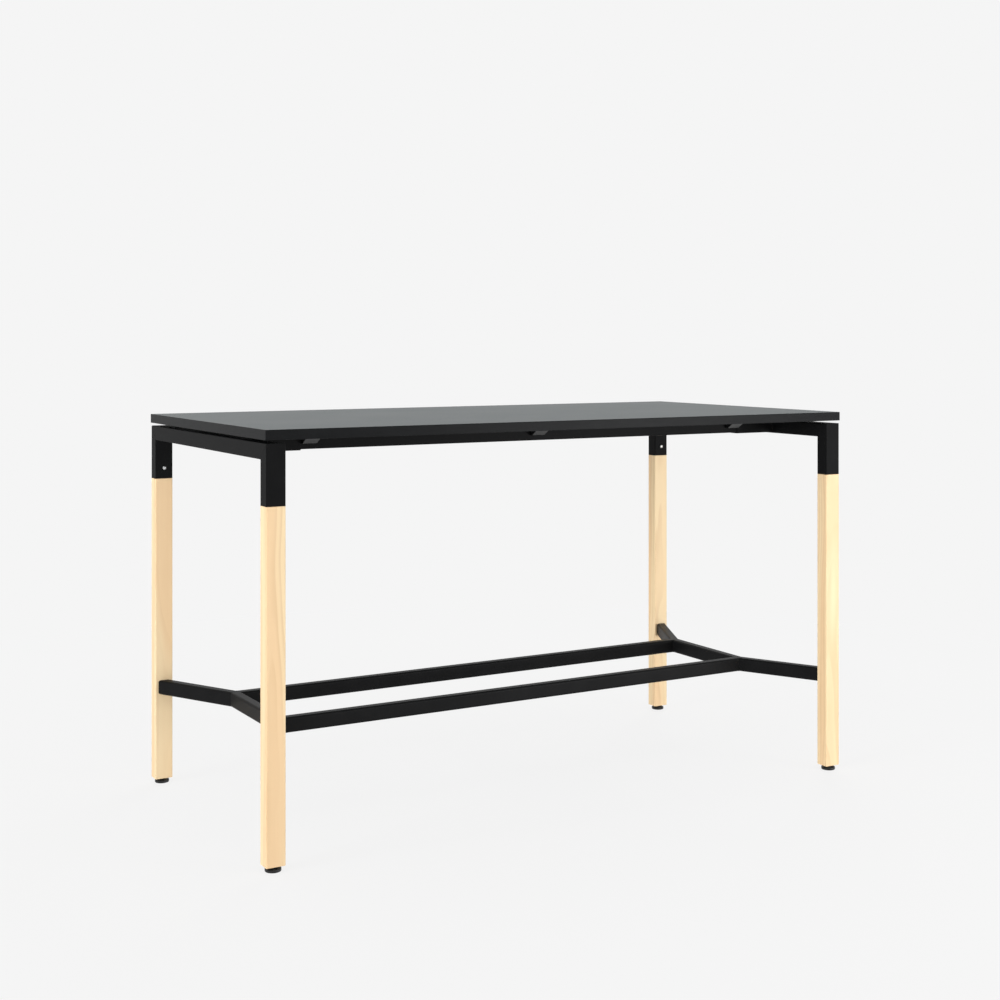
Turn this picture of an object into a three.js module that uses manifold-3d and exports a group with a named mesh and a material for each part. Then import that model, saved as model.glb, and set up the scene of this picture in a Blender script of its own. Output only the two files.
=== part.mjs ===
// A standing meeting table: a faced board on a steel upper frame, timber lower legs and a welded foot rail.
// Millimetres. +X runs along the table, +Y to its back, +Z up; the origin is on the floor under the centre.
import * as THREE from 'three';
import { mergeVertices } from 'three/addons/utils/BufferGeometryUtils.js';
import Module from 'manifold-3d';

const wasm = await Module();
wasm.setup();

// Top
const tableLength = 1800;
const tableDepth = 900;
const tableHeight = 1055;
const topThickness = 25;
const topCornerRadius = 3;
const bandThickness = 2;
const bandEase = 1;

// Corner posts and end rails, bent up from one rectangular tube
const legWidth = 50; // along X
const legDepth = 40; // along Y
const tubeWall = 2;
const tubeRadius = 3;
const postHeight = 150;
const shadowGap = 8; // between the end rails and the top
const frameInset = 2; // frame set back from the edge of the top

// Long beams that slide into stubs on the end rails
const beamSize = 30;
const beamSpread = 380; // between the two beams' centre lines
const beamPlay = 0.5; // beam to stub, on each side
const beamEndGap = 10; // beam end to end rail
const stubWall = 2;
const stubLength = 138;

// Cross bearers under the top
const bearerWidth = 40;
const bearerDepth = 28;
const bearerWall = 2;
const bearerStubGap = 2; // outer bearer to the end of the stub
const bearerShoulder = 10; // flat length beyond the beam
const bearerTaper = 40; // sloped length at each end
const bearerNose = 2.5; // thickness left at the tip

// Timber legs
const legEase = 1;
const legRadius = 3;
const tenonLength = 85;
const tenonPlay = 0.4; // tenon to tube, on each side

// Foot rail frame
const footRailTop = 296; // above the floor
const footTubeWidth = 30;
const footTubeHeight = 40;
const footWall = 2;
const footSpread = 330; // between the two rails' centre lines
const crossInset = 124; // leg centre to cross piece centre, along X
const armPlate = 3; // closed end of the arm, against the leg
const armAccess = 14; // hole under the arm, for the key
const armAccessInset = 30; // from the leg to that hole

// Levelling glides
const padDiameter = 40;
const padHeight = 10;
const padRim = 8;
const padEase = 2.2;
const padCrown = 18; // diameter of the raised middle
const socketDepth = 4.5;
const collarAcross = 13; // hexagon, across flats
const collarHeight = 3.4;
const stemDiameter = 8;
const stemTip = 1;
const pivotDiameter = 10; // end of the stem that turns in the pad
const glideTravel = 20;
const nutLength = 16;
const nutDiameter = 14;
const nutFlange = 20;
const nutFlangeThickness = 1.5;
const stemBorePlay = 0.8; // leg bore round the stem, on each side
const boreRelief = 4; // leg bore beyond the end of the stem

// Fasteners
const legScrew = { head: 10.5, headHeight: 3.3, dome: 2, socket: 4, shank: 6 };
const legScrewRise = 30; // above the foot of the post
const legScrewCover = 8; // timber and tube left beyond the tip
const armScrew = { head: 10, headHeight: 6, dome: 0.6, socket: 5, shank: 6 };
const armScrewCover = 8;
const beamBolt = { head: 11, headHeight: 3, dome: 1.8, socket: 4, shank: 6 };
const beamBoltBite = 9; // beyond the wall of the beam
const beamBoltInset = 70; // from the end rail
const topScrew = { head: 9, headHeight: 3, dome: 1.6, socket: 3, shank: 4.5 };
const topScrewSpread = 220;
const topScrewCover = 9; // board left above the tip
const topScrewAccess = 12;
const socketDepthShare = 0.6; // of the height of the head

// Clearances
const seatGap = 0.3; // faces that touch
const holePlay = 0.4; // round a shank, on each side
const cutRun = 5; // how far a cut starts outside the face

// Smoothness
const cornerSteps = 2;
const screwSides = 12;
const turnedSides = 20;

// Finishes
const boardFinish = { color: 0x33363a, roughness: 0.35, metalness: 0 };
const bandFinish = { color: 0x2a2c2e, roughness: 0.45, metalness: 0 };
const powderCoat = { color: 0x1c1c1d, roughness: 0.5, metalness: 0.1 };
const timber = { color: 0xf0d4a8, roughness: 0.55, metalness: 0 };
const zinc = { color: 0xc2c4c6, roughness: 0.3, metalness: 0.9 };
const blackNylon = { color: 0x1e1e1e, roughness: 0.6, metalness: 0 };

// Places that several pieces share
const topUnderside = tableHeight - topThickness;
const railTop = topUnderside - shadowGap;
const railCentre = railTop - legDepth / 2;
const postFoot = railTop - postHeight;
const legCentreX = tableLength / 2 - frameInset - legWidth / 2;
const legCentreY = tableDepth / 2 - frameInset - legDepth / 2;
const railInnerX = legCentreX - legWidth / 2;
const legInnerY = legCentreY - legDepth / 2;
const legLift = padHeight + collarHeight + 2 * seatGap;
const stubSize = beamSize + 2 * (beamPlay + stubWall);
const stubInnerX = railInnerX - stubLength;
const beamTop = railCentre + beamSize / 2;
const footCentre = footRailTop - footTubeHeight / 2;
const crossX = legCentreX - crossInset;
const elbowY = footSpread / 2;
const armAngle = Math.atan2(crossInset, legInnerY - elbowY);
const armLength = (legInnerY - elbowY) / Math.cos(armAngle);
const stemTop = legLift + glideTravel + nutLength;

// Joins and cuts
function toSolid(geometry) {
  geometry.deleteAttribute('normal');
  geometry.deleteAttribute('uv');
  const merged = mergeVertices(geometry);
  const corners = Array.from(merged.index.array);
  const triangles = [];
  for (let i = 0; i < corners.length; i += 3) {
    const [a, b, c] = corners.slice(i, i + 3);
    if (a !== b && b !== c && c !== a) triangles.push(a, b, c);
  }
  const vertProperties = new Float32Array(merged.getAttribute('position').array);
  const triVerts = new Uint32Array(triangles);
  return new wasm.Manifold(new wasm.Mesh({ numProp: 3, vertProperties, triVerts }));
}

function toGeometry(solid) {
  const { vertProperties, triVerts } = solid.getMesh();
  const geometry = new THREE.BufferGeometry();
  geometry.setAttribute('position', new THREE.BufferAttribute(vertProperties, 3));
  geometry.setIndex(new THREE.BufferAttribute(triVerts, 1));
  geometry.computeVertexNormals();
  return geometry;
}

function cutAll(solid, cutters) {
  return cutters.reduce((left, cutter) => left.subtract(cutter), solid);
}

function piece(name, solid, finish) {
  const mesh = new THREE.Mesh(toGeometry(solid), new THREE.MeshStandardMaterial(finish));
  mesh.name = name;
  return mesh;
}

// Sections and bars
function roundedRectangle(width, height, radius) {
  const x = width / 2 - radius;
  const y = height / 2 - radius;
  const quarter = Math.PI / 2;
  const shape = new THREE.Shape();
  shape.absarc(x, y, radius, 0, quarter);
  shape.absarc(-x, y, radius, quarter, 2 * quarter);
  shape.absarc(-x, -y, radius, 2 * quarter, 3 * quarter);
  shape.absarc(x, -y, radius, 3 * quarter, 4 * quarter);
  return shape;
}

function tubeBore(width, height, wall) {
  const radius = Math.max(tubeRadius - wall, wall / 4);
  return roundedRectangle(width - 2 * wall, height - 2 * wall, radius);
}

function tubeSection(width, height, wall) {
  const shape = roundedRectangle(width, height, tubeRadius);
  shape.holes.push(tubeBore(width, height, wall));
  return shape;
}

// A section carried along +Z. Each end is square, or rises across the section by a slope along its x and y.
function bar(section, length, startSlope = [0, 0], endSlope = [0, 0]) {
  const options = { depth: length, bevelEnabled: false, curveSegments: cornerSteps };
  const geometry = new THREE.ExtrudeGeometry(section, options);
  const position = geometry.getAttribute('position');
  for (let i = 0; i < position.count; i += 1) {
    const [slopeX, slopeY] = position.getZ(i) < length / 2 ? startSlope : endSlope;
    const rise = slopeX * position.getX(i) + slopeY * position.getY(i);
    position.setZ(i, position.getZ(i) + rise);
  }
  return geometry;
}

// Lays a bar along +Y, its section's y turned down
function alongY(geometry) {
  return geometry.rotateX(-Math.PI / 2);
}

// Lays a bar along +X, its section's x towards the front and its y turned down
function alongX(geometry) {
  return alongY(geometry).rotateZ(-Math.PI / 2);
}

// A plate with its edges eased at both faces, from z = 0 up
function easedPlate(width, depth, height, radius, ease) {
  const options = {
    depth: height - 2 * ease,
    bevelThickness: ease,
    bevelSize: ease,
    bevelOffset: -ease,
    bevelSegments: 1,
    curveSegments: cornerSteps,
  };
  const geometry = new THREE.ExtrudeGeometry(roundedRectangle(width, depth, radius), options);
  return geometry.translate(0, 0, ease);
}

function block(sizeX, sizeY, sizeZ, x, y, z) {
  return toSolid(new THREE.BoxGeometry(sizeX, sizeY, sizeZ).translate(x, y, z));
}

// A round hole's shape between two points
function drill(diameter, from, to, sides = screwSides) {
  const start = new THREE.Vector3(...from);
  const path = new THREE.Vector3(...to).sub(start);
  const length = path.length();
  const geometry = new THREE.CylinderGeometry(diameter / 2, diameter / 2, length, sides);
  geometry.translate(0, length / 2, 0);
  const turn = new THREE.Quaternion().setFromUnitVectors(new THREE.Vector3(0, 1, 0), path.normalize());
  return toSolid(geometry.applyQuaternion(turn).translate(start.x, start.y, start.z));
}

// A turned shape round +Z from [radius, height] points
function turned(points, sides) {
  const profile = points.map(([radius, height]) => new THREE.Vector2(radius, height));
  return toSolid(new THREE.LatheGeometry(profile, sides).rotateX(Math.PI / 2));
}

function hexagonBar(acrossFlats, bottom, top) {
  const radius = acrossFlats / Math.sqrt(3);
  const geometry = new THREE.CylinderGeometry(radius, radius, top - bottom, 6).rotateX(Math.PI / 2);
  return toSolid(geometry.translate(0, 0, (top + bottom) / 2));
}

// A screw that points along +Z, with the underside of its domed head at z = 0
function screw({ head, headHeight, dome, socket, shank }, length) {
  const tip = shank / 4;
  const flat = head / 2 - dome;
  const arc = dome * Math.SQRT1_2;
  const body = turned(
    [
      [0, -headHeight],
      [flat, -headHeight],
      [flat + arc, dome - arc - headHeight],
      [head / 2, dome - headHeight],
      [head / 2, 0],
      [shank / 2, 0],
      [shank / 2, length - tip],
      [shank / 2 - tip, length],
      [0, length],
    ],
    screwSides,
  );
  return body.subtract(hexagonBar(socket, -2 * headHeight, -headHeight * (1 - socketDepthShare)));
}

// Top board, with blind holes for the bearers' screws
const topScrewLength = bearerWall + topThickness - topScrewCover;
const bearerPlaces = [
  ['left', -(stubInnerX - bearerStubGap - bearerWidth / 2)],
  ['centre', 0],
  ['right', stubInnerX - bearerStubGap - bearerWidth / 2],
];
const screwPlaces = [
  ['front', -topScrewSpread / 2],
  ['back', topScrewSpread / 2],
];

function tableTop() {
  const inset = bandThickness + seatGap;
  const board = block(tableLength - 2 * inset, tableDepth - 2 * inset, topThickness, 0, 0, topThickness / 2);
  const depth = topThickness - topScrewCover + seatGap;
  const holes = bearerPlaces.flatMap(([, x]) =>
    screwPlaces.map(([, y]) => drill(topScrew.shank + 2 * holePlay, [x, y, -cutRun], [x, y, depth])),
  );
  return cutAll(board, holes);
}

function edgeBand() {
  const blank = easedPlate(tableLength, tableDepth, topThickness, topCornerRadius, bandEase);
  const sizeX = tableLength - 2 * bandThickness;
  const sizeY = tableDepth - 2 * bandThickness;
  return toSolid(blank).subtract(block(sizeX, sizeY, 3 * topThickness, 0, 0, topThickness / 2));
}

// Post: foot at z = 0, mitred at the top, with the leg screw's hole in its inner face
function post(side) {
  const mitreGap = seatGap * Math.SQRT2;
  const tube = bar(
    tubeSection(legWidth, legDepth, tubeWall),
    railCentre - postFoot - mitreGap,
    [0, 0],
    [0, side],
  );
  const inner = -side * (legDepth / 2);
  const hole = drill(
    legScrew.shank + 2 * holePlay,
    [0, inner - side * cutRun, legScrewRise],
    [0, inner + side * 2 * tubeWall, legScrewRise],
  );
  return toSolid(tube).subtract(hole);
}

// End rail along Y, centred, mitred down to the posts
function endRail() {
  const section = tubeSection(legWidth, legDepth, tubeWall);
  const rail = bar(section, 2 * legCentreY, [0, 1], [0, -1]);
  return toSolid(alongY(rail).translate(0, -legCentreY, 0));
}

// Stub from its open end at x = 0 towards the end rail; the bolt hole is on the side that faces the middle
function beamStub(side) {
  const length = stubLength - seatGap;
  const tube = toSolid(alongX(bar(tubeSection(stubSize, stubSize, stubWall), length)));
  const x = stubLength - beamBoltInset;
  const inner = -side * (stubSize / 2);
  return tube.subtract(drill(beamBolt.shank + 2 * holePlay, [x, inner - side * cutRun, 0], [x, 0, 0]));
}

function beam(side) {
  const half = railInnerX - beamEndGap;
  const bare = bar(tubeSection(beamSize, beamSize, tubeWall), 2 * half);
  const tube = toSolid(alongX(bare).translate(-half, 0, 0));
  const inner = -side * (beamSize / 2);
  const x = railInnerX - beamBoltInset;
  const diameter = beamBolt.shank + 2 * holePlay;
  const holes = [-x, x].map((end) => drill(diameter, [end, inner - side * cutRun, 0], [end, 0, 0]));
  return cutAll(tube, holes);
}

// Extrudes an outline drawn in (y, z) along X, centred
function acrossX(outline, width) {
  const shape = new THREE.Shape(outline.map(([y, z]) => new THREE.Vector2(y, z)));
  const geometry = new THREE.ExtrudeGeometry(shape, { depth: width, bevelEnabled: false });
  return toSolid(geometry.translate(0, 0, -width / 2).rotateX(Math.PI / 2).rotateZ(Math.PI / 2));
}

// Bearer: a hollow bar with sloped ends, its top face at z = 0, notched to sit down over the two beams
function bearer() {
  const flat = beamSpread / 2 + beamSize / 2 + bearerShoulder;
  const reach = flat + bearerTaper;
  const slope = Math.atan2(bearerDepth - bearerNose, bearerTaper);
  const wallRise = bearerWall / Math.cos(slope);
  const innerFlat = flat - bearerWall * Math.tan(slope / 2);
  const innerReach = flat + (bearerDepth - bearerWall - wallRise) / Math.tan(slope);
  const outside = acrossX(
    [
      [-reach, 0],
      [-reach, -bearerNose],
      [-flat, -bearerDepth],
      [flat, -bearerDepth],
      [reach, -bearerNose],
      [reach, 0],
    ],
    bearerWidth,
  );
  const inside = acrossX(
    [
      [-innerReach, -bearerWall],
      [-innerFlat, bearerWall - bearerDepth],
      [innerFlat, bearerWall - bearerDepth],
      [innerReach, -bearerWall],
    ],
    bearerWidth - 2 * bearerWall,
  );
  const notchTop = beamTop + seatGap - topUnderside;
  const notches = [-1, 1].map((side) =>
    block(
      2 * bearerWidth,
      beamSize + 2 * seatGap,
      bearerDepth,
      0,
      (side * beamSpread) / 2,
      notchTop - bearerDepth / 2,
    ),
  );
  const middle = -bearerDepth / 2;
  const holes = screwPlaces.flatMap(([, y]) => [
    drill(topScrew.shank + 2 * holePlay, [0, y, cutRun], [0, y, middle]),
    drill(topScrewAccess, [0, y, middle], [0, y, -bearerDepth - cutRun]),
  ]);
  return cutAll(outside, [inside, ...notches, ...holes]);
}

// Timber leg: foot at z = 0, a tenon above its shoulder, bored for the glide and for the two screws
const legLength = postFoot - legLift - seatGap;

function leg(side) {
  const body = easedPlate(legWidth, legDepth, legLength, legRadius, legEase);
  const margin = 2 * (tubeWall + tenonPlay);
  const tenonRadius = Math.max(tubeRadius - tubeWall, legEase);
  const tenon = roundedRectangle(legWidth - margin, legDepth - margin, tenonRadius);
  const tenonBar = bar(tenon, tenonLength + legEase).translate(0, 0, legLength - legEase);
  const inner = -side * (legDepth / 2);
  const screwHeight = postFoot + legScrewRise - legLift;
  const armHeight = footCentre - legLift;
  const legScrewEnd = inner + side * (legDepth - legScrewCover + 2 * seatGap);
  const armScrewEnd = inner + side * (legDepth - armScrewCover + 2 * seatGap);
  const face = inner - side * cutRun;
  const foot = [0, 0, -cutRun];
  return cutAll(toSolid(body).add(toSolid(tenonBar)), [
    drill(nutFlange + 2 * seatGap, foot, [0, 0, nutFlangeThickness + seatGap], turnedSides),
    drill(nutDiameter + 2 * seatGap, foot, [0, 0, nutLength + seatGap], turnedSides),
    drill(stemDiameter + 2 * stemBorePlay, foot, [0, 0, stemTop + boreRelief - legLift]),
    drill(legScrew.shank + 2 * holePlay, [0, face, screwHeight], [0, legScrewEnd, screwHeight]),
    drill(armScrew.shank + 2 * holePlay, [0, face, armHeight], [0, armScrewEnd, armHeight]),
  ]);
}

// Glide: pad on the floor at z = 0, a stem that turns in it, and a flanged nut in the end of the leg
function glidePad() {
  const radius = padDiameter / 2;
  const socket = pivotDiameter / 2 + holePlay;
  return turned(
    [
      [0, 0],
      [radius - padEase, 0],
      [radius, padEase],
      [radius, padRim - padEase],
      [radius - padEase, padRim],
      [padCrown / 2, padHeight],
      [socket, padHeight],
      [socket, padHeight - socketDepth],
      [0, padHeight - socketDepth],
    ],
    turnedSides,
  );
}

function glideStem() {
  const collarFoot = padHeight + seatGap;
  const spindle = turned(
    [
      [0, padHeight - socketDepth + seatGap],
      [pivotDiameter / 2, padHeight - socketDepth + seatGap],
      [pivotDiameter / 2, collarFoot + collarHeight / 2],
      [stemDiameter / 2, collarFoot + collarHeight / 2],
      [stemDiameter / 2, stemTop - stemTip],
      [stemDiameter / 2 - stemTip, stemTop],
      [0, stemTop],
    ],
    screwSides,
  );
  return spindle.add(hexagonBar(collarAcross, collarFoot, collarFoot + collarHeight));
}

function glideNut() {
  const bore = stemDiameter / 2 + holePlay;
  return turned(
    [
      [bore, 0],
      [nutFlange / 2, 0],
      [nutFlange / 2, nutFlangeThickness],
      [nutDiameter / 2, nutFlangeThickness],
      [nutDiameter / 2, nutLength],
      [bore, nutLength],
      [bore, 0],
    ],
    turnedSides,
  );
}

// Foot frame: the cross piece and the arms are mitred at the elbows, half the bend on each
const halfBend = Math.tan(armAngle / 2);

function footSection() {
  return tubeSection(footTubeWidth, footTubeHeight, footWall);
}

function footCross() {
  const length = 2 * (elbowY - seatGap);
  const tube = bar(footSection(), length, [halfBend, 0], [-halfBend, 0]);
  return toSolid(alongY(tube).translate(0, -length / 2, 0));
}

// Arm along +Y from its elbow to the face of the leg, closed there by a plate with the screw's hole
function footArm(side) {
  const start = [side * halfBend, 0];
  const end = [side * Math.tan(armAngle), 0];
  const gap = seatGap / Math.cos(armAngle);
  const plate = armPlate / Math.cos(armAngle);
  const outer = roundedRectangle(footTubeWidth, footTubeHeight, tubeRadius);
  const bore = tubeBore(footTubeWidth, footTubeHeight, footWall);
  const outside = toSolid(alongY(bar(outer, armLength - gap, start, end)));
  const hollow = bar(bore, armLength - gap - plate + cutRun, start, end).translate(0, 0, -cutRun);
  const inside = toSolid(alongY(hollow));
  const across = [-side * Math.sin(armAngle), Math.cos(armAngle)];
  const reach = 2 * armPlate;
  const hole = drill(
    armScrew.shank + 2 * holePlay,
    [-across[0] * reach, armLength - across[1] * reach, 0],
    [across[0] * reach, armLength + across[1] * reach, 0],
  );
  const accessY = armLength - armAccessInset;
  const access = drill(armAccess, [0, accessY, 0], [0, accessY, -footTubeHeight]);
  return cutAll(outside, [inside, hole, access]);
}

// The space outside the inner faces of one end of the foot frame, drawn in plan, that the long rails stop at
function footEndSpace(turn) {
  const half = footTubeWidth / 2 + seatGap;
  const elbow = [crossX - half, elbowY + half * halfBend];
  const legEnd = [
    crossX + armLength * Math.sin(armAngle) - half * Math.cos(armAngle),
    elbowY + armLength * Math.cos(armAngle) + half * Math.sin(armAngle),
  ];
  const outline = [elbow, [elbow[0], -elbow[1]], [legEnd[0], -legEnd[1]], legEnd];
  const shape = new THREE.Shape(outline.map(([x, y]) => new THREE.Vector2(x, y)));
  const geometry = new THREE.ExtrudeGeometry(shape, { depth: 2 * footTubeHeight, bevelEnabled: false });
  return toSolid(geometry.translate(0, 0, -footTubeHeight).rotateZ(turn));
}

function footRail(side) {
  const tube = alongX(bar(footSection(), 2 * crossX)).translate(-crossX, side * elbowY, 0);
  return cutAll(toSolid(tube), [footEndSpace(0), footEndSpace(Math.PI)]).translate(0, -side * elbowY, 0);
}

// Assembly
const table = new THREE.Group();

function place(parent, mesh, x, y, z, turnX = 0, turnZ = 0) {
  mesh.position.set(x, y, z);
  mesh.rotation.set(turnX, 0, turnZ);
  parent.add(mesh);
}

place(table, piece('table_top', tableTop(), boardFinish), 0, 0, topUnderside);
place(table, piece('edge_band', edgeBand(), bandFinish), 0, 0, topUnderside);

for (const [name, x] of bearerPlaces) {
  place(table, piece(`bearer_${name}`, bearer(), powderCoat), x, 0, topUnderside);
  for (const [end, y] of screwPlaces) {
    const fixing = piece(`top_screw_${name}_${end}`, screw(topScrew, topScrewLength - seatGap), zinc);
    place(table, fixing, x, y, topUnderside - bearerWall - seatGap);
  }
}

for (const [name, side] of [['front', -1], ['back', 1]]) {
  place(table, piece(`beam_${name}`, beam(side), powderCoat), 0, (side * beamSpread) / 2, railCentre);
  place(table, piece(`foot_rail_${name}`, footRail(side), powderCoat), 0, side * elbowY, footCentre);
}

// Upper frame at one corner: post, stub and the bolt that holds the beam in it
function addFrame(group, corner, side, inward) {
  place(group, piece(`post_${corner}`, post(side), powderCoat), legCentreX, side * legCentreY, postFoot);
  const stubY = (side * beamSpread) / 2;
  place(group, piece(`beam_stub_${corner}`, beamStub(side), powderCoat), stubInnerX, stubY, railCentre);
  const boltLength = stubWall + beamPlay + tubeWall + beamBoltBite;
  const bolt = piece(`beam_bolt_${corner}`, screw(beamBolt, boltLength), zinc);
  const boltY = stubY - side * (stubSize / 2 + seatGap);
  place(group, bolt, railInnerX - beamBoltInset, boltY, railCentre, inward);
}

// Timber leg and the screw that holds it in the post
function addLeg(group, corner, side, inward) {
  place(group, piece(`leg_${corner}`, leg(side), timber), legCentreX, side * legCentreY, legLift);
  const fixing = piece(`leg_screw_${corner}`, screw(legScrew, legDepth - legScrewCover), zinc);
  place(group, fixing, legCentreX, side * (legInnerY - seatGap), postFoot + legScrewRise, inward);
}

// Foot arm and the screw that holds it to the leg
function addFootArm(group, corner, side, inward) {
  const swing = side > 0 ? -armAngle : armAngle - Math.PI;
  const arm = piece(`foot_arm_${corner}`, footArm(side), powderCoat);
  place(group, arm, crossX, side * elbowY, footCentre, 0, swing);
  const fixing = piece(`foot_screw_${corner}`, screw(armScrew, armPlate + legDepth - armScrewCover), zinc);
  const seatY = side * (legInnerY - armPlate - 2 * seatGap);
  place(group, fixing, legCentreX, seatY, footCentre, inward);
}

function addGlide(group, corner, side) {
  const y = side * legCentreY;
  place(group, piece(`glide_pad_${corner}`, glidePad(), blackNylon), legCentreX, y, 0);
  place(group, piece(`glide_stem_${corner}`, glideStem(), zinc), legCentreX, y, 0);
  place(group, piece(`glide_nut_${corner}`, glideNut(), zinc), legCentreX, y, legLift);
}

// One end of the table. The left end is the right one turned about Z.
function addEnd(end, turn, sideNames) {
  const group = new THREE.Group();
  group.rotation.z = turn;
  place(group, piece(`end_rail_${end}`, endRail(), powderCoat), legCentreX, 0, railCentre);
  place(group, piece(`foot_cross_${end}`, footCross(), powderCoat), crossX, 0, footCentre);
  for (const [name, side] of sideNames) {
    const corner = `${end}_${name}`;
    const inward = (-side * Math.PI) / 2;
    addFrame(group, corner, side, inward);
    addLeg(group, corner, side, inward);
    addFootArm(group, corner, side, inward);
    addGlide(group, corner, side);
  }
  table.add(group);
}

addEnd('right', 0, [['front', -1], ['back', 1]]);
addEnd('left', Math.PI, [['front', 1], ['back', -1]]);

export default table;
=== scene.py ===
# A standing meeting table: dark faced board, black tube frame, pale timber legs and a welded foot rail.
import math
import bpy
import numpy as np
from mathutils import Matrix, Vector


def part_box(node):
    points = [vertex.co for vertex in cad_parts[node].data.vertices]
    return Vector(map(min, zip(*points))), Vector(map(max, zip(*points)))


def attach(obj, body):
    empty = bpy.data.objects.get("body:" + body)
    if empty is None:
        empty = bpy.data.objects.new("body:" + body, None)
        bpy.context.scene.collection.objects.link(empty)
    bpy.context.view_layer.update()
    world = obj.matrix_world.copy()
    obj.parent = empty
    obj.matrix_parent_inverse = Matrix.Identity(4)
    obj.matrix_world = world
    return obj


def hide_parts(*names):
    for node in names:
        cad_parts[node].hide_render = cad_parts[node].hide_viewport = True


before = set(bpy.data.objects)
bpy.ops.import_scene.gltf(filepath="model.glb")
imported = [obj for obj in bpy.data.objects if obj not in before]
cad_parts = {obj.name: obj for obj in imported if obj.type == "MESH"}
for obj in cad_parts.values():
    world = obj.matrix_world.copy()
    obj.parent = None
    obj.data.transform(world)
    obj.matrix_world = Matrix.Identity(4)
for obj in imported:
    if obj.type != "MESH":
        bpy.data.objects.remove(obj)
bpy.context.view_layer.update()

mm = 0.001
ends = {"left": -1, "right": 1}
sides = {"front": -1, "back": 1}
corners = [(end, side) for end in ends for side in sides]
xAxis, yAxis, zAxis = np.eye(3)
print("frame loaded:", len(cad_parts), "nodes")


# A Link is a socket that takes part in sums
class Link:
    def __init__(self, finish, socket):
        self.finish = finish
        self.socket = socket

    def maths(self, operation, first, second):
        return self.finish.node("ShaderNodeMath", {"operation": operation}, {0: first, 1: second})

    def __add__(self, other):
        return self.maths("ADD", self, other)

    def __radd__(self, other):
        return self.maths("ADD", other, self)

    def __sub__(self, other):
        return self.maths("SUBTRACT", self, other)

    def __rsub__(self, other):
        return self.maths("SUBTRACT", other, self)

    def __mul__(self, other):
        return self.maths("MULTIPLY", self, other)

    def __rmul__(self, other):
        return self.maths("MULTIPLY", other, self)

    def __truediv__(self, other):
        return self.maths("DIVIDE", self, other)

    def __rtruediv__(self, other):
        return self.maths("DIVIDE", other, self)


# A Finish makes the nodes of one material, or of the world
class Finish:
    def __init__(self, tree):
        self.tree = tree
        self.tree.nodes.clear()
        self.place = self.node("ShaderNodeTexCoord", out="Object")

    def node(self, kind, settings=None, sockets=None, out=0):
        made = self.tree.nodes.new(kind)
        for key, value in (settings or {}).items():
            setattr(made, key, value)
        for key, value in (sockets or {}).items():
            if isinstance(value, Link):
                self.tree.links.new(value.socket, made.inputs[key])
            else:
                made.inputs[key].default_value = value
        return Link(self, made.outputs[out]) if made.outputs else None

    # Noise in a space stretched by a scale per metre along each axis
    def noise(self, scale, detail=2.0, roughness=0.5):
        spread = self.node("ShaderNodeMapping", {"vector_type": "POINT"}, {"Vector": self.place, "Scale": scale})
        sockets = {"Vector": spread, "Scale": 1.0, "Detail": detail, "Roughness": roughness}
        return self.node("ShaderNodeTexNoise", {}, sockets)

    def axis(self, name):
        return self.node("ShaderNodeSeparateXYZ", {}, {0: self.place}, out=name)

    def between(self, value, low, high, lowOut=0.0, highOut=1.0):
        sockets = {"Value": value, "From Min": low, "From Max": high, "To Min": lowOut, "To Max": highOut}
        return self.node("ShaderNodeMapRange", {"interpolation_type": "SMOOTHSTEP"}, sockets)

    def mix(self, factor, first, second):
        settings = {"data_type": "RGBA", "blend_type": "MIX"}
        return self.node("ShaderNodeMix", settings, {0: factor, 6: first + (1,), 7: second + (1,)}, out=2)

    def over(self, factor, under, top):
        settings = {"data_type": "RGBA", "blend_type": "MIX"}
        return self.node("ShaderNodeMix", settings, {0: factor, 6: under, 7: top + (1,)}, out=2)

    def bump(self, height, distance, strength):
        return self.node("ShaderNodeBump", {}, {"Height": height, "Distance": distance, "Strength": strength})

    def surface(self, **sockets):
        named = {key.replace("_", " "): value for key, value in sockets.items()}
        shader = self.node("ShaderNodeBsdfPrincipled", {}, named)
        self.node("ShaderNodeOutputMaterial", {}, {"Surface": shader})


def newFinish(name):
    material = bpy.data.materials.new(name)
    material.use_nodes = True
    return material, Finish(material.node_tree)


# Dark grey melamine face: a fine pearl in the skin, faint cloudiness, satin sheen
boardLook = {"dark": (0.013, 0.028, 0.031), "light": (0.021, 0.039, 0.042), "roughness": 0.35}


def facedBoard():
    material, finish = newFinish("facedBoard")
    cloud = finish.noise((5, 5, 5), 3.0)
    pearl = finish.noise((900, 900, 900))
    shade = finish.between(cloud * 0.6 + pearl * 0.4, 0.35, 0.65)
    colour = finish.mix(shade, boardLook["dark"], boardLook["light"])
    roughness = boardLook["roughness"] + 0.06 * cloud + 0.05 * pearl
    normal = finish.bump(pearl, 0.02 * mm, 0.8)
    finish.surface(Base_Color=colour, Roughness=roughness, Normal=normal, Specular_IOR_Level=0.30)
    return material


# Plastic edging: fine draw lines along its length
bandLook = {"dark": (0.0070, 0.0074, 0.0079), "light": (0.0105, 0.0110, 0.0117), "roughness": 0.31}


def edgePlastic():
    material, finish = newFinish("edgePlastic")
    lines = finish.noise((14, 14, 2600))
    cloud = finish.noise((30, 30, 60))
    shade = finish.between(lines * 0.6 + cloud * 0.4, 0.3, 0.7)
    colour = finish.mix(shade, bandLook["dark"], bandLook["light"])
    roughness = bandLook["roughness"] + 0.1 * cloud
    normal = finish.bump(lines, 0.01 * mm, 0.6)
    finish.surface(Base_Color=colour, Roughness=roughness, Normal=normal, Specular_IOR_Level=0.05)
    return material


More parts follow.
